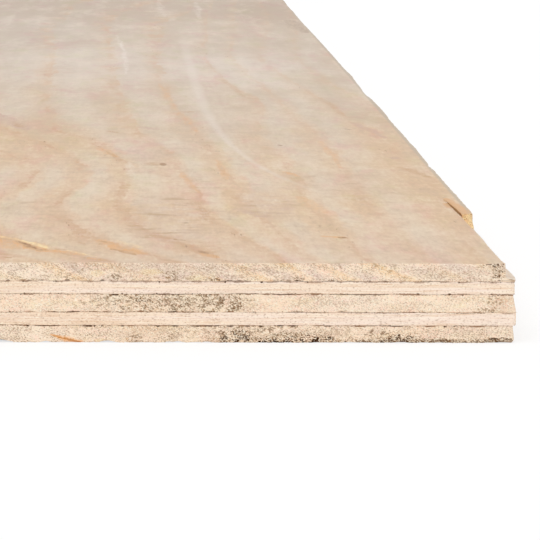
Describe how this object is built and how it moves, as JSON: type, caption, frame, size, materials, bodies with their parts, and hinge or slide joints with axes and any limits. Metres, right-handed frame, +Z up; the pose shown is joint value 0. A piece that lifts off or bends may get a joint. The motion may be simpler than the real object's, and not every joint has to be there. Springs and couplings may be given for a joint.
{
  "type": "plywood sheet",
  "caption": "Full softwood plywood sheet lying flat, veneers glued crosswise, square sawn edges with the ply layers showing, and a sliver split off the face at one corner.",
  "frame": {"origin": "middle of the underside, on the surface that the sheet lies on", "axes": "+X across the width, +Y along the length and the face grain, +Z up through the thickness; the split corner is at +X, -Y"},
  "size_m": [1.2192, 2.4384, 0.0182],
  "materials": {
    "face_veneer": "bare sanded pine, weathered, face grain along the sheet",
    "crossband_veneer": "bare pine, grain across the sheet, sawn edge",
    "centre_veneer": "bare pine, grain along the sheet, rough sawn edge with dark stains",
    "back_veneer": "bare pine, grain along the sheet, ragged stained edge"
  },
  "bodies": {
    "root": {"back_ply": "back_veneer", "crossband_lower": "crossband_veneer", "centre_ply": "centre_veneer", "crossband_upper": "crossband_veneer", "face_ply": "face_veneer"}
  },
  "joints": []
}
